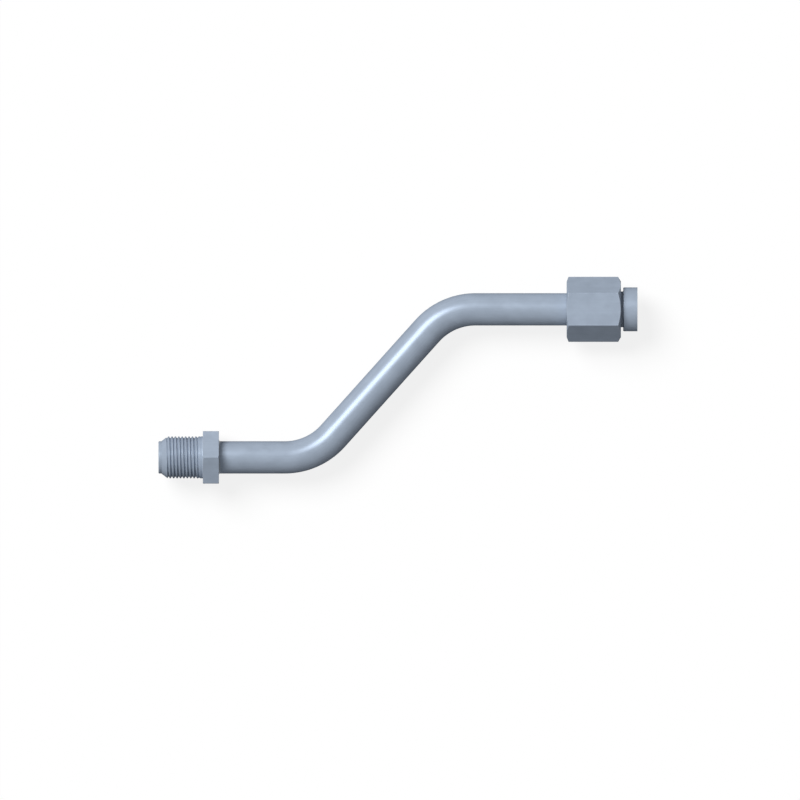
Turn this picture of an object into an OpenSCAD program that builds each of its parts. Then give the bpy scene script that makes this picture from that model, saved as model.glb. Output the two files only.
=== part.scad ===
// Bent tube assembly: a steel fluid line with a brazed male connector at one end
// and a flared end with its sleeve and swivel nut at the other.
// Sizes are in millimetres. The line lies flat, with both bends in the horizontal plane.

/* [Tube] */
// Outside diameter of the tube
tube_od = 12.7; // [11:0.1:14]
// Wall thickness of the tube
tube_wall = 1.25; // [0.9:0.05:1.8]
// Bend radius at the tube's centre line
bend_radius = 25.4; // [20:0.2:40]
// Angle that each bend turns through
bend_angle = 48.1; // [30:0.1:75]
// Drawing down of the wall in the bends, on each side of it
bend_thinning = 0.02; // [0.01:0.01:0.08]
// Straight length from the male end to the first bend
male_leg = 49.6; // [32:0.1:90]
// Straight length between the two bends
middle_leg = 55.4; // [5:0.1:120]
// Straight length from the second bend to the flared end
flare_leg = 63.6; // [45:0.1:120]

/* [Flare] */
// Half angle of the flare and of the male connector's cone
cone_angle = 37; // [30:0.5:45]
// Height of the flare's lip above the outside of the tube
flare_height = 1.35; // [0.8:0.05:2]

/* [Male connector] */
// Length of tube that stands proud of the connector
nose_length = 1.3; // [0.5:0.1:4]
// Width of the flat rim at the small end of the cone
cone_rim = 0.1; // [0.05:0.05:0.5]
// Outside diameter of the male thread
male_thread_d = 16.5; // [15.6:0.1:18.5]
// Length of the male thread
male_thread_length = 13.8; // [8:0.1:20]
// Width across the flats of the connector's hexagon
male_hex_af = 20.6; // [19:0.1:26]
// Length of the connector's hexagon
male_hex_length = 6.3; // [4:0.1:10]
// Depth turned off the hexagon's corners at its faces
male_corner_cut = 0.5; // [0.2:0.1:1.2]

/* [Sleeve] */
// Overall length of the sleeve
sleeve_length = 14.3; // [11:0.1:20]
// Length of the sleeve's head
sleeve_head_length = 5.6; // [4:0.1:8]
// Wall of the sleeve's shank
sleeve_wall = 0.57; // [0.4:0.01:0.9]
// Width of the flat rim in front of the sleeve's cone
sleeve_rim = 0.23; // [0.15:0.01:0.5]

/* [Swivel nut] */
// Width across the flats of the nut
nut_af = 22.2; // [21:0.1:27]
// Length of the nut
nut_length = 21.3; // [16:0.1:28]
// Length of the collar behind the nut's thread
nut_collar_length = 6; // [3:0.1:9]
// Distance of the nut's front face behind the flared end
nut_setback = 6.5; // [0:0.1:20]
// Depth turned off the nut's corners at its faces
nut_corner_cut = 1.9; // [0.5:0.1:2.4]
// Angle of the turned chamfer on the nut's front
nut_front_chamfer = 30; // [20:1:50]
// Angle of the turned chamfer on the nut's back
nut_back_chamfer = 22; // [15:1:50]
// Height of the thread inside the nut
nut_thread_height = 0.75; // [0.4:0.05:0.9]
// Length of the relief between the collar and the nut's thread
nut_relief_length = 1.6; // [0.8:0.1:3]

/* [Clearances] */
// Gap that the brazing fills between the tube and the male connector
braze_gap = 0.05; // [0.02:0.01:0.15]
// Gap between the sleeve's bore and the tube
sleeve_clearance = 0.1; // [0.05:0.01:0.3]
// Gap between the sleeve's cone and the flare
seat_gap = 0.1; // [0.05:0.01:0.3]
// Gap between the sleeve's head and the nut's thread
head_clearance = 0.18; // [0.1:0.01:0.4]
// Gap between the sleeve's shank and the nut's collar
shank_clearance = 0.2; // [0.1:0.01:0.4]
// Room outside the nut's thread at its mouth
mouth_clearance = 0.15; // [0.05:0.01:0.3]
// Small chamfer on turned and cut edges
edge_break = 0.25; // [0.1:0.05:0.4]

/* [Hidden] */
$fn = 96;
hex_sides = 6;
hex_half_turn = 180 / hex_sides;
// Slope of the light chamfers on the connector's hexagon
edge_angle = 30;
// Angle by which each end of a bend laps into the straight tube
bend_lap = 0.5;
// Length by which cuts and limiting shapes reach past the metal
cut_extra = 1;

// Line of the tube: the male leg runs along X, the flared leg runs beside it
bend_reach = bend_radius * sin(bend_angle);
bend_rise = bend_radius * (1 - cos(bend_angle));
line_length = male_leg + 2 * bend_reach + middle_leg * cos(bend_angle) + flare_leg;
line_offset = 2 * bend_rise + middle_leg * sin(bend_angle);

// Tube and flare
tube_r = tube_od / 2;
bore_r = tube_r - tube_wall;
lip_outer_r = tube_r + flare_height;
lip_inner_r = lip_outer_r - tube_wall * cos(cone_angle);
lip_slant = tube_wall * sin(cone_angle);
flare_outer_length = flare_height / tan(cone_angle);
flare_inner_length = (lip_inner_r - bore_r) / tan(cone_angle);

// Male connector
connector_bore_r = tube_r + braze_gap;
cone_small_r = connector_bore_r + cone_rim;
male_thread_r = male_thread_d / 2;
cone_length = (male_thread_r - cone_small_r) / tan(cone_angle);
shank_length = cone_length + male_thread_length;
male_hex_corner_r = male_hex_af / 2 / cos(hex_half_turn);

// Sleeve
sleeve_bore_r = tube_r + sleeve_clearance;
sleeve_shank_r = sleeve_bore_r + sleeve_wall;
sleeve_mouth_r = lip_outer_r + lip_slant * tan(cone_angle) + seat_gap / cos(cone_angle);
sleeve_head_r = sleeve_mouth_r + sleeve_rim;
sleeve_cone_length = (sleeve_mouth_r - sleeve_bore_r) / tan(cone_angle);
sleeve_shank_length = sleeve_length - sleeve_head_length;

// Swivel nut
nut_corner_r = nut_af / 2 / cos(hex_half_turn);
nut_thread_r = sleeve_head_r + head_clearance;
nut_relief_r = nut_thread_r + nut_thread_height;
nut_relief_end = nut_collar_length + nut_relief_length;
nut_mouth_r = nut_relief_r + mouth_clearance;
nut_mouth_depth = nut_mouth_r - nut_thread_r;
nut_collar_r = sleeve_shank_r + shank_clearance;

// Resting place: centred on the origin, lowest corner on the ground
axis_height = max(male_hex_corner_r, nut_af / 2);
low_y = min(-male_hex_af / 2, line_offset - nut_corner_r);
high_y = max(male_hex_af / 2, line_offset + nut_corner_r);
male_end = [-line_length / 2, -(low_y + high_y) / 2, axis_height];
flare_end = male_end + [line_length, line_offset, 0];

// Turns a piece drawn along Z so that it lies along X, with its foot at the given point
module along_line(foot)
    translate(foot)
        rotate([0, 90, 0])
            children();

// One bend about the Z axis, whose ends lap a little into the straight tube
module bend(start_angle)
    rotate_extrude(start = start_angle - bend_lap, angle = bend_angle + 2 * bend_lap)
        translate([bend_radius, 0])
            difference() {
                circle(tube_r - bend_thinning);
                circle(bore_r + bend_thinning);
            }

// Hexagon prism with a turned chamfer at each end
module turned_hexagon(across_flats, length, corner_cut, back_angle, front_angle) {
    corner_r = across_flats / 2 / cos(hex_half_turn);
    face_r = corner_r - corner_cut;
    outer_r = corner_r + cut_extra;
    back_depth = (outer_r - face_r) * tan(back_angle);
    front_depth = (outer_r - face_r) * tan(front_angle);
    intersection() {
        cylinder(r = corner_r, h = length, $fn = hex_sides);
        rotate_extrude()
            polygon([
                [0, 0],
                [face_r, 0],
                [outer_r, back_depth],
                [outer_r, length - front_depth],
                [face_r, length],
                [0, length]
            ]);
    }
}

// Male leg, with its cut end deburred outside and inside
module male_leg_of_tube()
    along_line(male_end)
        rotate_extrude()
            polygon([
                [bore_r + edge_break, 0],
                [tube_r - edge_break, 0],
                [tube_r, edge_break],
                [tube_r, male_leg],
                [bore_r, male_leg],
                [bore_r, edge_break]
            ]);

// Slanted run with a bend at each end
module middle_of_tube()
    translate(male_end + [male_leg, 0, 0]) {
        translate([0, bend_radius, 0])
            bend(-90);
        translate([bend_reach, bend_rise, 0])
            rotate([0, 0, bend_angle])
                along_line([0, 0, 0])
                    linear_extrude(middle_leg)
                        difference() {
                            circle(tube_r);
                            circle(bore_r);
                        }
    }

// Flared leg: the lip stays square to the flared wall, as it does when a square cut end is opened out
module flared_leg_of_tube() {
    leg_start = flare_end - [flare_leg, 0, 0];
    translate(leg_start - [0, bend_radius, 0])
        bend(90);
    along_line(leg_start)
        rotate_extrude()
            polygon([
                [bore_r, 0],
                [tube_r, 0],
                [tube_r, flare_leg - lip_slant - flare_outer_length],
                [lip_outer_r, flare_leg - lip_slant],
                [lip_inner_r, flare_leg],
                [bore_r, flare_leg - flare_inner_length]
            ]);
}

// Bent and flared tube, one piece
module tube()
    color("LightSteelBlue") {
        male_leg_of_tube();
        middle_of_tube();
        flared_leg_of_tube();
    }

// Turned connector that the tube passes through: cone, threaded shank and hexagon
module male_connector()
    color("SlateGray")
        along_line(male_end + [nose_length, 0, 0])
            difference() {
                union() {
                    rotate_extrude()
                        polygon([
                            [0, 0],
                            [cone_small_r, 0],
                            [male_thread_r, cone_length],
                            [male_thread_r, shank_length + male_hex_length / 2],
                            [0, shank_length + male_hex_length / 2]
                        ]);
                    translate([0, 0, shank_length])
                        turned_hexagon(male_hex_af, male_hex_length, male_corner_cut, edge_angle, edge_angle);
                }
                translate([0, 0, -cut_extra])
                    cylinder(r = connector_bore_r, h = shank_length + male_hex_length + 2 * cut_extra);
            }

// Turned sleeve behind the flare, drawn from its back to its front
module sleeve()
    color("SteelBlue")
        along_line(flare_end - [sleeve_length, 0, 0])
            rotate_extrude()
                polygon([
                    [sleeve_bore_r, 0],
                    [sleeve_shank_r - edge_break, 0],
                    [sleeve_shank_r, edge_break],
                    [sleeve_shank_r, sleeve_shank_length],
                    [sleeve_head_r - edge_break, sleeve_shank_length],
                    [sleeve_head_r, sleeve_shank_length + edge_break],
                    [sleeve_head_r, sleeve_length],
                    [sleeve_mouth_r, sleeve_length],
                    [sleeve_bore_r, sleeve_length - sleeve_cone_length]
                ]);

// Stepped bore of the nut: chamfered collar, thread relief, thread and opened mouth
module nut_bore()
    rotate_extrude()
        polygon([
            [0, -cut_extra],
            [nut_collar_r + edge_break + cut_extra, -cut_extra],
            [nut_collar_r, edge_break],
            [nut_collar_r, nut_collar_length],
            [nut_relief_r, nut_collar_length],
            [nut_relief_r, nut_relief_end],
            [nut_thread_r, nut_relief_end + nut_thread_height],
            [nut_thread_r, nut_length - nut_mouth_depth],
            [nut_mouth_r, nut_length],
            [nut_mouth_r + cut_extra, nut_length + cut_extra],
            [0, nut_length + cut_extra]
        ]);

// Hexagon nut, loose on the tube and the sleeve, drawn from its back to its front
module swivel_nut()
    color("LightSlateGray")
        along_line(flare_end - [nut_setback + nut_length, 0, 0])
            difference() {
                rotate([0, 0, hex_half_turn])
                    turned_hexagon(nut_af, nut_length, nut_corner_cut, nut_back_chamfer, nut_front_chamfer);
                nut_bore();
            }

tube();
male_connector();
sleeve();
swivel_nut();
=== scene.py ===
"""Bent tube assembly: a plated steel line with a brazed male connector at one end
and a flared end with its sleeve and swivel nut at the other.

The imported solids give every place. Each piece is laid out again here from the same sizes,
with the threads, rounded edges and finishes that the solids leave out.
"""

import math

import bmesh
import bpy
import numpy as np
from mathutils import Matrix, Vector


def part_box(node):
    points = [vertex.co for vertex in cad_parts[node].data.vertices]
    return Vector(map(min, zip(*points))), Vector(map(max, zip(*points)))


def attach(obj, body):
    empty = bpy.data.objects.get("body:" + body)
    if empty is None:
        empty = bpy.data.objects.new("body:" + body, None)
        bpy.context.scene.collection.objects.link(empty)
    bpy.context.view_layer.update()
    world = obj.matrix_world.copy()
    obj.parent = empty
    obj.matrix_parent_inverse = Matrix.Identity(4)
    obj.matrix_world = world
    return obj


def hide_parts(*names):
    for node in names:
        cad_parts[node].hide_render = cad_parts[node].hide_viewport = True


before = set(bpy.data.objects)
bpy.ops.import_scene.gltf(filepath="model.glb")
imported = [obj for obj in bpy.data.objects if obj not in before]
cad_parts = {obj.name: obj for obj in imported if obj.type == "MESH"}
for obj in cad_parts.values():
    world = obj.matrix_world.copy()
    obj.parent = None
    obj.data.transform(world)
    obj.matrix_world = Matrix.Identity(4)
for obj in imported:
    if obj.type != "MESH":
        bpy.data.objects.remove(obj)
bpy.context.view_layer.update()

MM = 0.001
FULL_TURN = 2 * math.pi


def slope(degrees):
    """How far a cone or chamfer of this angle rises for each millimetre of run."""
    return math.tan(math.radians(degrees))


# Clearances and the chamfer on cut edges, in millimetres as are all sizes below
BRAZE_GAP = 0.05
SLEEVE_CLEARANCE = 0.1
SEAT_GAP = 0.1
HEAD_CLEARANCE = 0.18
SHANK_CLEARANCE = 0.2
MOUTH_CLEARANCE = 0.15
EDGE_BREAK = 0.25

# Tube
TUBE_R = 6.35
TUBE_WALL = 1.25
BORE_R = TUBE_R - TUBE_WALL
BEND_R = 25.4
BEND_TURN = math.radians(48.1)
BEND_LENGTH = BEND_R * BEND_TURN
MALE_LEG = 49.6
MIDDLE_LEG = 55.4
FLARE_LEG = 63.6
LINE_LENGTH = MALE_LEG + MIDDLE_LEG + FLARE_LEG + 2 * BEND_LENGTH

# Flare, whose lip is square to its wall
CONE = slope(37)
CONE_SLANT = math.hypot(1, CONE)
FLARE_HEIGHT = 1.35
LIP_OUTER_R = TUBE_R + FLARE_HEIGHT
LIP_INNER_R = LIP_OUTER_R - TUBE_WALL / CONE_SLANT
LIP_SLANT = TUBE_WALL * CONE / CONE_SLANT
FLARE_BACK = LINE_LENGTH - LIP_SLANT - (LIP_OUTER_R - TUBE_R) / CONE
FLARE_SEAT_BACK = LINE_LENGTH - (LIP_INNER_R - BORE_R) / CONE

# Male connector, from its cone to its hexagon
NOSE_LENGTH = 1.3
CONE_RIM = 0.1
CONNECTOR_BORE_R = TUBE_R + BRAZE_GAP
CONE_SMALL_R = CONNECTOR_BORE_R + CONE_RIM
MALE_THREAD_R = 8.25
MALE_THREAD_LENGTH = 13.8
MALE_HEX_AF = 20.6
MALE_HEX_LENGTH = 6.3
MALE_CORNER_CUT = 0.5
MALE_CHAMFER = slope(30)
CONE_LENGTH = (MALE_THREAD_R - CONE_SMALL_R) / CONE
SHANK_LENGTH = CONE_LENGTH + MALE_THREAD_LENGTH
CONNECTOR_LENGTH = SHANK_LENGTH + MALE_HEX_LENGTH

# Its thread, which runs out over its last turn and a half and stops short of the hexagon
MALE_PITCH = 1.337
MALE_THREAD_DEPTH = 0.68
MALE_RUN_OUT = 1.5 * MALE_PITCH
MALE_THREAD_STOP = SHANK_LENGTH - MALE_PITCH / 2

# Braze fillet behind the connector, with swells as their height, number around and turn
BRAZE_LEG = 0.55
BRAZE_HOLLOW = 0.3 * BRAZE_LEG
BRAZE_HOLLOW_EDGE = 0.3
BRAZE_SWELLS = ((0.12, 3, 0.7), (0.08, 7, 0.0))

# Sleeve, from its back to its front
SLEEVE_LENGTH = 14.3
SLEEVE_HEAD_LENGTH = 5.6
SLEEVE_WALL = 0.57
SLEEVE_RIM = 0.23
SLEEVE_SHANK_LENGTH = SLEEVE_LENGTH - SLEEVE_HEAD_LENGTH
SLEEVE_BORE_R = TUBE_R + SLEEVE_CLEARANCE
SLEEVE_SHANK_R = SLEEVE_BORE_R + SLEEVE_WALL
SLEEVE_MOUTH_R = LIP_OUTER_R + LIP_SLANT * CONE + SEAT_GAP * CONE_SLANT
SLEEVE_HEAD_R = SLEEVE_MOUTH_R + SLEEVE_RIM
SLEEVE_CONE_BACK = SLEEVE_LENGTH - (SLEEVE_MOUTH_R - SLEEVE_BORE_R) / CONE

# Swivel nut, from its back to its front
NUT_AF = 22.2
NUT_LENGTH = 21.3
NUT_SETBACK = 6.5
NUT_CORNER_CUT = 1.9
NUT_BACK_CHAMFER = slope(22)
NUT_FRONT_CHAMFER = slope(30)
NUT_COLLAR_R = SLEEVE_SHANK_R + SHANK_CLEARANCE
NUT_COLLAR_LENGTH = 6.0
NUT_RELIEF_LENGTH = 1.6
NUT_PITCH = 1.5875
NUT_THREAD_DEPTH = 0.75
NUT_THREAD_R = SLEEVE_HEAD_R + HEAD_CLEARANCE
NUT_RELIEF_R = NUT_THREAD_R + NUT_THREAD_DEPTH
NUT_RELIEF_END = NUT_COLLAR_LENGTH + NUT_RELIEF_LENGTH
NUT_MOUTH_R = NUT_RELIEF_R + MOUTH_CLEARANCE
NUT_THREAD_START = NUT_RELIEF_END + NUT_THREAD_DEPTH
NUT_THREAD_END = NUT_LENGTH - (NUT_MOUTH_R - NUT_THREAD_R)

# Share of a thread's pitch that is flat at its crest and at its root
THREAD_CREST = 0.26
THREAD_ROOT = 0.14

# Rounding of the edges
FINE_EDGE = 0.03
THIN_EDGE = 0.08
SHARP_EDGE = 0.12
SOFT_EDGE = 0.2
HEX_EDGE = 0.3
FLARE_BEND = 1.0

# How finely the pieces are laid out. THREAD_ROWS is for each pitch
HEX_SIDES = 6
ROUND_COLUMNS = 96
FLAT_COLUMNS = 14
CORNER_COLUMNS = 6
EDGE_STEPS = 4
THREAD_ROWS = 18
BEND_ROWS = 26

# A rounding takes at most EDGE_SHARE of the shorter side next to it, and a row at EDGE_HOLD times
# its reach keeps the shading of the side flat. Past NEAR_STRAIGHT, a cosine is no real corner
EDGE_SHARE = 0.36
EDGE_HOLD = 1.25
NEAR_STRAIGHT = 0.999

# A row this near to a hexagon's outline lies on a flat
ON_FLAT = 0.03

# Where the two ends of the line lie
tube_low, tube_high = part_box("tube")
hex_low, hex_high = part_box("male_connector")
nut_low, nut_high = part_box("swivel_nut")
AXIS_Z = (hex_low.z + hex_high.z) / 2 / MM
MALE_END = (tube_low.x / MM, (hex_low.y + hex_high.y) / 2 / MM)
FLARE_END = (tube_high.x / MM, (nut_low.y + nut_high.y) / 2 / MM)


def bent_line(s):
    """Centre and heading of the tube at each distance s from its male end."""
    x, y = np.full_like(s, MALE_END[0]), np.full_like(s, MALE_END[1])
    heading = np.zeros_like(s)
    for length, turn in (
        (MALE_LEG, 0),
        (BEND_LENGTH, BEND_TURN),
        (MIDDLE_LEG, 0),
        (BEND_LENGTH, -BEND_TURN),
        (FLARE_LEG, 0),
    ):
        run = np.clip(s, 0, length)
        if turn:
            after = heading + run / length * turn
            x = x + length / turn * (np.sin(after) - np.sin(heading))
            y = y - length / turn * (np.cos(after) - np.cos(heading))
            heading = after
        else:
            x, y = x + run * np.cos(heading), y + run * np.sin(heading)
        s = s - run
    return x, y, heading


def straight_line(foot_x, y):
    """A line along X, for the turned pieces."""
    return lambda s: (foot_x + s, np.full_like(s, y), np.zeros_like(s))


def round_columns():
    """Angles of a round piece's columns."""
    return np.arange(ROUND_COLUMNS) * FULL_TURN / ROUND_COLUMNS


def hexagon_columns(across_flats, first_flat):
    """Angles and outline radii of a hexagon with rounded corners, whose first flat faces first_flat.

    One side is a flat and the arc after it, as complex numbers, and is then turned six times.
    """
    apothem, half = across_flats / 2, math.pi / HEX_SIDES
    corner = (apothem - HEX_EDGE) / math.cos(half)
    sweep = np.linspace(-half, half, CORNER_COLUMNS)
    arc = corner * np.exp(1j * half) + HEX_EDGE * np.exp(1j * (sweep + half))
    reach = arc[0].imag - SHARP_EDGE / 2
    flat = apothem + 1j * np.linspace(-reach, reach, FLAT_COLUMNS)
    side = np.concatenate([flat, arc])
    turns = [first_flat + 2 * half * k for k in range(HEX_SIDES)]
    outline = np.concatenate([side * np.exp(1j * turn) for turn in turns])
    return np.angle(outline), np.abs(outline)


def hexagon_face(across_flats, corner_cut):
    """Radius of the circle that the chamfers leave on a hexagon's face."""
    return across_flats / math.sqrt(3) - corner_cut


def hexagon_end(foot, inward, outline, face_r, chamfer):
    """Face circle and chamfer of a hexagon's end, at distance foot."""
    face = np.minimum(face_r, outline - SHARP_EDGE)
    return [(foot, face, SHARP_EDGE), (foot + inward * (outline - face) * chamfer, outline, SHARP_EDGE)]


def rounded_profile(corners, stations=None):
    """A closed profile with rounded corners.

    corners are (distance along the line, radius, rounding), where a distance or radius is a number
    or one value for every column. stations give extra rows on the stretch after a corner, by the
    corner's number. Returns the rows' distances, radii and edge wear, each as (columns, rows).
    """
    points = [np.stack(np.broadcast_arrays(s, r), -1) for s, r, _ in corners]
    columns = max(p.size // 2 for p in points)
    points = [np.broadcast_to(p, (columns, 2)).astype(float) for p in points]
    rows, wear = [], []
    for n, here in enumerate(points):
        back, ahead = points[n - 1] - here, points[(n + 1) % len(points)] - here
        long_back = np.linalg.norm(back, axis=1, keepdims=True)
        long_ahead = np.linalg.norm(ahead, axis=1, keepdims=True)
        before, after = back / long_back, ahead / long_ahead
        cosine = np.clip((before * after).sum(1, keepdims=True), -NEAR_STRAIGHT, NEAR_STRAIGHT)
        cut = corners[n][2] * np.sqrt((1 + cosine) / (1 - cosine))
        cut = np.minimum(cut, EDGE_SHARE * np.minimum(long_back, long_ahead))
        rows.append(here + before * cut * EDGE_HOLD)
        wear.append(0.0)
        for t in np.linspace(0, 1, EDGE_STEPS + 1):
            rows.append(here + cut * ((1 - t) ** 2 * before + t**2 * after))
            wear.append(math.sin(math.pi * t))
        rows.append(here + after * cut * EDGE_HOLD)
        wear.append(0.0)
        for at in (stations or {}).get(n, ()):
            rows.append(here + (at - here[:, :1]) / ahead[:, :1] * ahead)
            wear.append(0.0)
    grid = np.stack(rows, 1)
    return grid[..., 0], grid[..., 1], np.broadcast_to(wear, grid.shape[:2])


def round_profile(corners, stations=None):
    """Angles and rows of a round piece, with the same profile in every column."""
    angles = round_columns()
    return angles, *(np.repeat(a, len(angles), 0) for a in rounded_profile(corners, stations))


def thread_rows(start, end, pitch):
    """Stations along a thread, evenly spaced inside its ends."""
    count = math.ceil((end - start) / pitch * THREAD_ROWS)
    return np.linspace(start, end, count + 1)[1:-1]


def thread_groove(along, angles, pitch):
    """Share of the full depth of an endless right-handed V groove."""
    phase = (along / pitch - angles[:, None] / FULL_TURN) % 1
    flank = 1 - THREAD_CREST - THREAD_ROOT
    return np.clip((1 - np.abs(2 * phase - 1) - THREAD_CREST) / flank, 0, 1)


def put_in_scene(name, data):
    """An object with this data, in the scene."""
    thing = bpy.data.objects.new(name, data)
    bpy.context.scene.collection.objects.link(thing)
    return thing


def laid_piece(name, line, angles, along, radius, wear, turned, groove):
    """A closed mesh from columns around a line and rows along it.

    The mesh keeps two attributes for its finish: place, in millimetres along and across the line,
    and marks, which holds the wear at edges, how far a face is turned and the depth in a thread.
    """
    columns, rows = along.shape
    angle = np.broadcast_to(angles[:, None], along.shape)
    x, y, heading = line(along)
    side, up = radius * np.cos(angle), radius * np.sin(angle)
    spots = np.stack([x - side * np.sin(heading), y + side * np.cos(heading), AXIS_Z + up], -1)
    index = np.arange(columns * rows).reshape(columns, rows)
    next_column, next_row = np.roll(index, -1, 0), np.roll(index, -1, 1)
    faces = np.stack([index, next_row, np.roll(next_column, -1, 1), next_column], -1).reshape(-1, 4)

    mesh = bpy.data.meshes.new(name)
    mesh.from_pydata((spots.reshape(-1, 3) * MM).tolist(), [], faces.tolist())
    place = np.stack([along, side, up], -1)
    marks = np.stack([np.broadcast_to(m, along.shape) for m in (wear, turned, groove)], -1)
    for label, values in (("place", place), ("marks", marks)):
        layer = mesh.attributes.new(label, "FLOAT_VECTOR", "POINT")
        layer.data.foreach_set("vector", values.astype(np.float32).ravel())
    unroll(mesh, spots, faces, columns, rows)
    shell = bmesh.new()
    shell.from_mesh(mesh)
    bmesh.ops.recalc_face_normals(shell, faces=shell.faces)
    shell.to_mesh(mesh)
    shell.free()
    mesh.shade_smooth()
    return put_in_scene(name, mesh)


def unroll(mesh, spots, faces, columns, rows):
    """Unrolls the columns and rows into a map, in step with the length of the profile."""
    steps = np.linalg.norm(np.roll(spots, -1, 1) - spots, axis=-1).mean(0)
    reach = np.concatenate([[0], np.cumsum(steps)]) / steps.sum()
    column, row = np.divmod(faces[:, :1], rows)
    u = (column + np.array([0, 0, 1, 1])) / columns
    v = reach[row + np.array([0, 1, 1, 0])]
    layer = mesh.uv_layers.new(name="OFBake")
    layer.uv.foreach_set("vector", np.stack([u, v], -1).astype(np.float32).ravel())


class Flow:
    """A value on its way through a material's nodes. Maths on it adds Math nodes."""

    def __init__(self, nodes, socket):
        self.nodes, self.socket = nodes, socket

    def maths(self, operation, first, second):
        """One Math node."""
        return self.nodes.add("Math", {"operation": operation}, {0: first, 1: second})

    def __add__(self, other):
        return self.maths("ADD", self, other)

    def __sub__(self, other):
        return self.maths("SUBTRACT", self, other)

    def __rsub__(self, other):
        return self.maths("SUBTRACT", other, self)

    def __mul__(self, other):
        return self.maths("MULTIPLY", self, other)

    __radd__, __rmul__ = __add__, __mul__


class Nodes:
    """The node tree of a material or of the world."""

    def __init__(self, owner):
        owner.use_nodes = True
        self.tree = owner.node_tree
        self.tree.nodes.clear()

    def add(self, kind, settings=None, values=None, output=0):
        """Adds a node, sets it up, fills or links its sockets and gives one of its outputs."""
        node = self.tree.nodes.new("ShaderNode" + kind)
        for key, value in (settings or {}).items():
            setattr(node, key, value)
        for key, value in (values or {}).items():
            if isinstance(value, Flow):
                self.tree.links.new(value.socket, node.inputs[key])
            else:
                node.inputs[key].default_value = value
        return Flow(self, node.outputs[output] if node.outputs else None)

    def scaled(self, vector, by):
        """A vector whose three parts are stretched by three numbers."""
        return self.add("VectorMath", {"operation": "MULTIPLY"}, {0: vector, 1: by})

    def noise(self, vector, detail, roughness):
        """Noise with one wave for each unit of the vector."""
        values = {"Vector": vector, "Scale": 1.0, "Detail": detail, "Roughness": roughness}
        return self.add("TexNoise", None, values)

    def blend(self, share, first, second):
        """A colour between two others."""
        return self.add("Mix", {"data_type": "RGBA"}, {"Factor": share, 6: first, 7: second}, 2)

    def between(self, value, low, high, to_low=0.0, to_high=1.0):
        """Stretches low to high over to_low to to_high, and holds it there."""
        names = ("Value", "From Min", "From Max", "To Min", "To Max")
        return self.add("MapRange", None, dict(zip(names, (value, low, high, to_low, to_high))))

    def parts(self, vector):
        """The three parts of a vector."""
        node = self.add("SeparateXYZ", None, {0: vector}).socket.node
        return [Flow(self, socket) for socket in node.outputs]

    def attribute(self, name):
        """A vector that the mesh holds."""
        return self.add("Attribute", {"attribute_name": name}, None, "Vector")


def srgb(red, green, blue):
    """A colour of 0 to 255 as a material takes it."""
    shades = [c / 255 for c in (red, green, blue)]
    return [*((c / 12.92 if c < 0.04 else ((c + 0.055) / 1.055) ** 2.4) for c in shades), 1.0]


BRIGHT_ZINC = srgb(168, 181, 198)
DULL_ZINC = srgb(152, 164, 180)
# Painted shade for the deep part of a thread's groove
GROOVE_PAINTED_SHADE = srgb(110, 118, 127)
RUBBED_ZINC = srgb(205, 212, 220)
DULL_BRAZE = srgb(138, 148, 160)
BRIGHT_BRAZE = srgb(160, 171, 184)

# How much of the plating mirrors as metal, and the tint of that mirror seen edge on
METAL_SHARE = 0.18
EDGE_ON_TINT = (0.3, 0.3, 0.33, 1.0)

# Waves in a millimetre, along the line and across it
DRAWN_LINES = (0.03, 2.6, 2.6)
TURNED_LINES = 5.0
PLATING_CLOUDS = (0.16, 0.22, 0.22)
PLATING_GRAIN = (6.0, 6.0, 6.0)
BRAZE_RUNS = (1.2, 0.6, 0.6)

# Part of a noise's range that goes from dull to bright, and from smooth to rough
ZINC_SHADES = (0.28, 0.72)
BRAZE_SHADES = (0.35, 0.65)
ROUGHNESS_RANGE = (0.3, 0.7)

# Roughness where a finish is smoothest and where it is roughest
ZINC_ROUGHNESS = (0.305, 0.355)
BRAZE_ROUGHNESS = (0.32, 0.48)

# What clouds, lines and grain give to the shade, the roughness and the relief
CLOUD_SHADE, LINE_SHADE, GRAIN_SHADE = 0.62, 0.28, 0.1
CLOUD_ROUGHNESS, LINE_ROUGHNESS = 0.6, 0.4
LINE_RELIEF, GRAIN_RELIEF = 0.8, 0.2

# Depth of the relief in millimetres, and its strength
ZINC_RELIEF_DEPTH, ZINC_RELIEF = 0.02, 0.35
BRAZE_RELIEF_DEPTH, BRAZE_RELIEF = 0.05, 0.4

# Rubbed edges: even and cloudy wear, where it starts to show, the most of it, and its polish
EVEN_WEAR, CLOUDY_WEAR = 0.55, 0.9
WEAR_START, MOST_WEAR = 0.45, 0.6
WEAR_POLISH = 0.1

# Painted shade in a thread's groove: the depth where it starts to darken, and the most that it darkens
GROOVE_SHADE_START, MOST_GROOVE_SHADE = 0.3, 0.1


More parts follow.
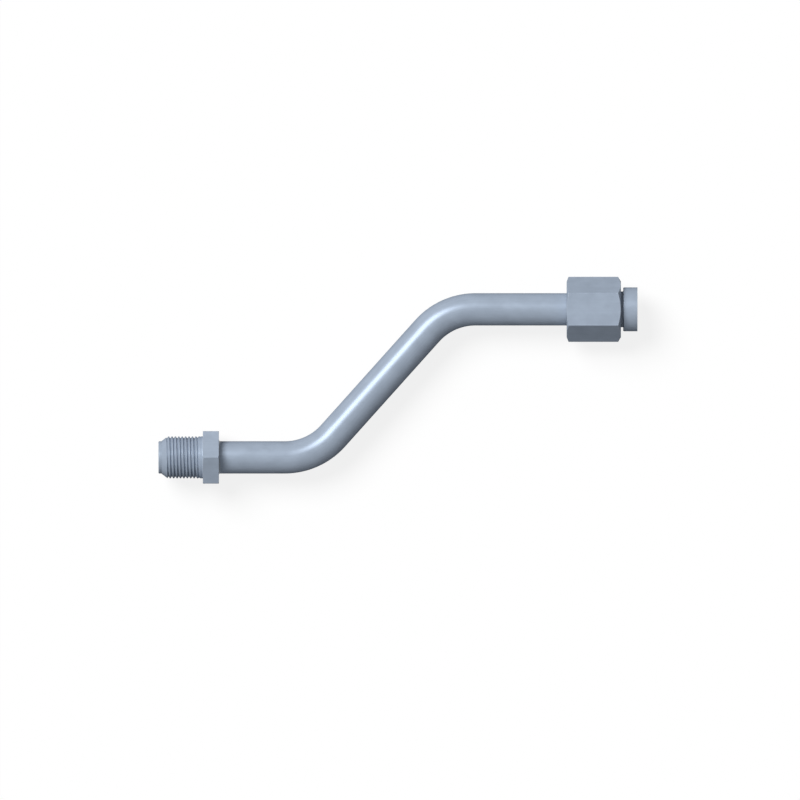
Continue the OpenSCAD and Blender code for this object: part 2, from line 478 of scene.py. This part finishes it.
def zinc_plated_steel(name):
    """Clear zinc on machined or drawn steel: fine lines, cloudy plating, rubbed edges, painted groove
    shade.
    """
    material = bpy.data.materials.new(name)
    nodes = Nodes(material)
    place = nodes.attribute("place")
    rubbed, turned, groove = nodes.parts(nodes.attribute("marks"))
    along = nodes.parts(place)[0]
    across = nodes.scaled(place, (0, 1, 1))
    from_axis = nodes.add("VectorMath", {"operation": "LENGTH"}, {0: across}, "Value")

    drawn_lines = nodes.noise(nodes.scaled(place, DRAWN_LINES), detail=3.0, roughness=0.6)
    rings = nodes.add("CombineXYZ", None, {0: along * TURNED_LINES, 1: from_axis * TURNED_LINES})
    turned_lines = nodes.noise(rings, detail=3.0, roughness=0.6)
    lines = drawn_lines + (turned_lines - drawn_lines) * turned
    clouds = nodes.noise(nodes.scaled(place, PLATING_CLOUDS), detail=4.0, roughness=0.55)
    grain = nodes.noise(nodes.scaled(place, PLATING_GRAIN), detail=2.0, roughness=0.5)

    shade = clouds * CLOUD_SHADE + lines * LINE_SHADE + grain * GRAIN_SHADE
    colour = nodes.blend(nodes.between(shade, *ZINC_SHADES), DULL_ZINC, BRIGHT_ZINC)
    # Painted shade: thread grooves darken with their depth
    painted_groove_shade = nodes.between(groove, GROOVE_SHADE_START, 1.0, 0.0, MOST_GROOVE_SHADE)
    colour = nodes.blend(painted_groove_shade, colour, GROOVE_PAINTED_SHADE)
    worn = nodes.between(rubbed * (EVEN_WEAR + clouds * CLOUDY_WEAR), WEAR_START, 1.0, 0.0, MOST_WEAR)
    colour = nodes.blend(worn, colour, RUBBED_ZINC)
    unevenness = clouds * CLOUD_ROUGHNESS + lines * LINE_ROUGHNESS
    roughness = nodes.between(unevenness, *ROUGHNESS_RANGE, *ZINC_ROUGHNESS)
    relief = {
        "Strength": ZINC_RELIEF,
        "Distance": ZINC_RELIEF_DEPTH * MM,
        "Height": lines * LINE_RELIEF + grain * GRAIN_RELIEF,
    }
    surface = nodes.add(
        "BsdfPrincipled",
        None,
        {
            "Base Color": colour,
            "Metallic": METAL_SHARE,
            "Roughness": roughness - worn * WEAR_POLISH,
            "Specular IOR Level": 0.0,
            "Specular Tint": EDGE_ON_TINT,
            "Normal": nodes.add("Bump", None, relief),
        },
    )
    nodes.add("OutputMaterial", None, {"Surface": surface})
    return material


def plated_braze(name):
    """Braze metal under the plating: a softer and uneven bead."""
    material = bpy.data.materials.new(name)
    nodes = Nodes(material)
    runs = nodes.noise(nodes.scaled(nodes.attribute("place"), BRAZE_RUNS), detail=3.0, roughness=0.6)
    relief = {"Strength": BRAZE_RELIEF, "Distance": BRAZE_RELIEF_DEPTH * MM, "Height": runs}
    surface = nodes.add(
        "BsdfPrincipled",
        None,
        {
            "Base Color": nodes.blend(nodes.between(runs, *BRAZE_SHADES), DULL_BRAZE, BRIGHT_BRAZE),
            "Metallic": METAL_SHARE,
            "Roughness": nodes.between(runs, *ROUGHNESS_RANGE, *BRAZE_ROUGHNESS),
            "Normal": nodes.add("Bump", None, relief),
        },
    )
    nodes.add("OutputMaterial", None, {"Surface": surface})
    return material


def drawn_tube():
    """Bent tube with a deburred end and a flared end."""
    corners = [
        (0, BORE_R + EDGE_BREAK, SHARP_EDGE),
        (0, TUBE_R - EDGE_BREAK, SHARP_EDGE),
        (EDGE_BREAK, TUBE_R, SHARP_EDGE),
        (FLARE_BACK, TUBE_R, FLARE_BEND),
        (LINE_LENGTH - LIP_SLANT, LIP_OUTER_R, SOFT_EDGE),
        (LINE_LENGTH, LIP_INNER_R, SOFT_EDGE),
        (FLARE_SEAT_BACK, BORE_R, FLARE_BEND),
        (EDGE_BREAK, BORE_R, SHARP_EDGE),
    ]
    first = MALE_LEG + np.linspace(0, BEND_LENGTH, BEND_ROWS)
    second = first + BEND_LENGTH + MIDDLE_LEG
    middles = [MALE_LEG / 2, (first[-1] + second[0]) / 2, LINE_LENGTH - FLARE_LEG / 2]
    rows = np.sort(np.concatenate([first, second, middles]))
    angles, along, radius, wear = round_profile(corners, {2: rows, 6: rows[::-1]})
    turned = (along < EDGE_BREAK) | (along > FLARE_BACK)
    return laid_piece("drawn_tube", bent_line, angles, along, radius, wear, turned, 0.0)


def threaded_connector():
    """Male connector: cone, threaded shank and hexagon around the tube."""
    angles, outline = hexagon_columns(MALE_HEX_AF, 0.0)
    face_r = hexagon_face(MALE_HEX_AF, MALE_CORNER_CUT)
    corners = [
        (0, CONNECTOR_BORE_R, FINE_EDGE),
        (0, CONE_SMALL_R, FINE_EDGE),
        (CONE_LENGTH, MALE_THREAD_R, SOFT_EDGE),
        (SHANK_LENGTH, MALE_THREAD_R, SOFT_EDGE),
        *hexagon_end(SHANK_LENGTH, 1, outline, face_r, MALE_CHAMFER),
        *hexagon_end(CONNECTOR_LENGTH, -1, outline, face_r, MALE_CHAMFER)[::-1],
        (CONNECTOR_LENGTH, CONNECTOR_BORE_R, SHARP_EDGE),
    ]
    cone_rows = thread_rows(CONE_LENGTH - MALE_THREAD_DEPTH / CONE, CONE_LENGTH, MALE_PITCH)
    shank_rows = thread_rows(CONE_LENGTH + SOFT_EDGE, SHANK_LENGTH - SOFT_EDGE, MALE_PITCH)
    along, radius, wear = rounded_profile(corners, {1: cone_rows, 2: shank_rows})
    flats = np.abs(radius - outline[:, None]) < ON_FLAT
    run_out = np.clip((MALE_THREAD_STOP - along) / MALE_RUN_OUT, 0, 1)
    groove = run_out * thread_groove(along, angles, MALE_PITCH)
    cut = np.minimum(radius, MALE_THREAD_R - MALE_THREAD_DEPTH * groove)
    cut = np.where(along < SHANK_LENGTH - SOFT_EDGE, cut, radius)
    groove = np.where(cut < radius, groove, 0.0)
    line = straight_line(MALE_END[0] + NOSE_LENGTH, MALE_END[1])
    return laid_piece("threaded_connector", line, angles, along, cut, wear, ~flats, groove)


def braze_fillet():
    """Hollow bead of braze metal where the tube leaves the connector's hexagon."""
    corners = [
        (0, 0, FINE_EDGE),
        (0, BRAZE_LEG, FINE_EDGE),
        (BRAZE_HOLLOW, BRAZE_HOLLOW, BRAZE_HOLLOW_EDGE),
        (BRAZE_LEG, 0, FINE_EDGE),
    ]
    angles, along, height, _ = round_profile(corners)
    swells = (high * np.sin(number * angles + turn) for high, number, turn in BRAZE_SWELLS)
    swell = sum(swells, start=1)[:, None]
    line = straight_line(MALE_END[0] + NOSE_LENGTH + CONNECTOR_LENGTH, MALE_END[1])
    radius = TUBE_R + height * swell
    return laid_piece("braze_fillet", line, angles, along * swell, radius, 0.0, 1.0, 0.0)


def flare_sleeve():
    """Turned sleeve behind the flare, from its back to its front."""
    corners = [
        (0, SLEEVE_BORE_R, THIN_EDGE),
        (0, SLEEVE_SHANK_R - EDGE_BREAK, THIN_EDGE),
        (EDGE_BREAK, SLEEVE_SHANK_R, THIN_EDGE),
        (SLEEVE_SHANK_LENGTH, SLEEVE_SHANK_R, SOFT_EDGE),
        (SLEEVE_SHANK_LENGTH, SLEEVE_HEAD_R - EDGE_BREAK, THIN_EDGE),
        (SLEEVE_SHANK_LENGTH + EDGE_BREAK, SLEEVE_HEAD_R, THIN_EDGE),
        (SLEEVE_LENGTH, SLEEVE_HEAD_R, THIN_EDGE),
        (SLEEVE_LENGTH, SLEEVE_MOUTH_R, THIN_EDGE),
        (SLEEVE_CONE_BACK, SLEEVE_BORE_R, SHARP_EDGE),
    ]
    line = straight_line(FLARE_END[0] - SLEEVE_LENGTH, FLARE_END[1])
    return laid_piece("flare_sleeve", line, *round_profile(corners), 1.0, 0.0)


def threaded_nut():
    """Swivel nut: chamfered hexagon with a collar, a relief and a thread inside, from back to front."""
    angles, outline = hexagon_columns(NUT_AF, math.pi / 2)
    face_r = hexagon_face(NUT_AF, NUT_CORNER_CUT)
    corners = [
        (0, NUT_COLLAR_R + EDGE_BREAK, SHARP_EDGE),
        *hexagon_end(0, 1, outline, face_r, NUT_BACK_CHAMFER),
        *hexagon_end(NUT_LENGTH, -1, outline, face_r, NUT_FRONT_CHAMFER)[::-1],
        (NUT_LENGTH, NUT_MOUTH_R, SHARP_EDGE),
        (NUT_THREAD_END, NUT_THREAD_R, SHARP_EDGE),
        (NUT_THREAD_START, NUT_THREAD_R, SHARP_EDGE),
        (NUT_RELIEF_END, NUT_RELIEF_R, SHARP_EDGE),
        (NUT_COLLAR_LENGTH, NUT_RELIEF_R, SHARP_EDGE),
        (NUT_COLLAR_LENGTH, NUT_COLLAR_R, SHARP_EDGE),
        (EDGE_BREAK, NUT_COLLAR_R, SHARP_EDGE),
    ]
    mouth_rows = thread_rows(NUT_THREAD_END, NUT_LENGTH, NUT_PITCH)
    crest_rows = thread_rows(NUT_THREAD_START, NUT_THREAD_END, NUT_PITCH)
    relief_rows = thread_rows(NUT_RELIEF_END, NUT_THREAD_START, NUT_PITCH)
    stations = {5: mouth_rows[::-1], 6: crest_rows[::-1], 7: relief_rows[::-1]}
    along, radius, wear = rounded_profile(corners, stations)
    flats = np.abs(radius - outline[:, None]) < ON_FLAT
    groove = thread_groove(along, angles, NUT_PITCH)
    cut = np.maximum(radius, NUT_THREAD_R + NUT_THREAD_DEPTH * groove)
    cut = np.where(along > NUT_RELIEF_END, cut, radius)
    groove = np.where(cut > radius, groove, 0.0)
    line = straight_line(FLARE_END[0] - NUT_SETBACK - NUT_LENGTH, FLARE_END[1])
    return laid_piece("threaded_nut", line, angles, along, cut, wear, ~flats, groove)


# Each piece with its body, the node that it stands for, its material slot and its finish
for make, body, node, slot, finish in (
    (drawn_tube, "tube", "tube", "drawn_tube", zinc_plated_steel),
    (threaded_connector, "tube", "male_connector", "turned_connector", zinc_plated_steel),
    (braze_fillet, "tube", None, "turned_connector", plated_braze),
    (flare_sleeve, "sleeve", "sleeve", "turned_sleeve", zinc_plated_steel),
    (threaded_nut, "nut", "swivel_nut", "nut_steel", zinc_plated_steel),
):
    piece = make()
    piece.data.materials.append(finish(piece.name + "_plating"))
    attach(piece, body)
    if node:
        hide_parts(node)


# Camera, in metres
PICTURE_WIDTH = 0.314
PICTURE_CENTRE = (0.0008, -0.00779)
CAMERA_HEIGHT = 0.6

# Light from all round, and one soft key light from the upper left that is square to the slanted run
AMBIENT = 0.14
KEY = 3.1
KEY_FROM = Vector((-0.457, 0.412, 0.788))
KEY_ANGLE = math.radians(32)

# Floor: its reach in metres, its shade under the lights, and the light that falls on it
FLOOR_REACH = 2.0
FLOOR_SHADE = 0.17
FLOOR_LIGHT = KEY * KEY_FROM.z / math.pi + AMBIENT
WHITE = (1, 1, 1, 1)


def camera_above():
    """Camera straight above the line, which fills the picture as it does in the photograph."""
    lens = bpy.data.cameras.new("camera")
    lens.type = "ORTHO"
    lens.ortho_scale = PICTURE_WIDTH
    camera = put_in_scene("camera", lens)
    camera.location = (*PICTURE_CENTRE, CAMERA_HEIGHT)
    bpy.context.scene.camera = camera


def seen_directly(nodes):
    """1 for what the camera sees, also in metal or glass."""
    rays = nodes.add("LightPath").socket.node.outputs
    straight, mirrored, through = (
        Flow(nodes, rays[k]) for k in ("Is Camera Ray", "Is Glossy Ray", "Is Transmission Ray")
    )
    return nodes.add("Math", {"operation": "MINIMUM"}, {0: straight + mirrored + through, 1: 1.0})


def white_surroundings():
    """Even, dim light from all round that looks white."""
    world = bpy.data.worlds.new("surroundings")
    bpy.context.scene.world = world
    nodes = Nodes(world)
    strength = AMBIENT + (1 - AMBIENT) * seen_directly(nodes)
    sky = nodes.add("Background", None, {"Color": WHITE, "Strength": strength})
    nodes.add("OutputWorld", None, {"Surface": sky})


def key_light():
    """A wide sun, for soft shadows."""
    sun = bpy.data.lights.new("key", "SUN")
    sun.energy = KEY
    sun.angle = KEY_ANGLE
    key = put_in_scene("key", sun)
    key.rotation_mode = "QUATERNION"
    key.rotation_quaternion = KEY_FROM.to_track_quat("Z", "Y")


def paper_floor():
    """White floor that keeps the line's shadow: what it lacks to white in full light, it glows."""
    material = bpy.data.materials.new("floor_paper")
    nodes = Nodes(material)
    matt = nodes.add("BsdfDiffuse", None, {"Color": (FLOOR_SHADE, FLOOR_SHADE, FLOOR_SHADE, 1)})
    glow = {"Color": WHITE, "Strength": (1 - FLOOR_SHADE * FLOOR_LIGHT) * seen_directly(nodes)}
    paper = nodes.add("AddShader", None, {0: matt, 1: nodes.add("Emission", None, glow)})
    nodes.add("OutputMaterial", None, {"Surface": paper})

    mesh = bpy.data.meshes.new("floor")
    corners = [(x * FLOOR_REACH, y * FLOOR_REACH, 0) for x, y in ((-1, -1), (1, -1), (1, 1), (-1, 1))]
    mesh.from_pydata(corners, [], [(0, 1, 2, 3)])
    mesh.materials.append(material)
    floor = put_in_scene("floor", mesh)


camera_above()
white_surroundings()
key_light()
paper_floor()
bpy.context.scene.view_settings.view_transform = "Standard"
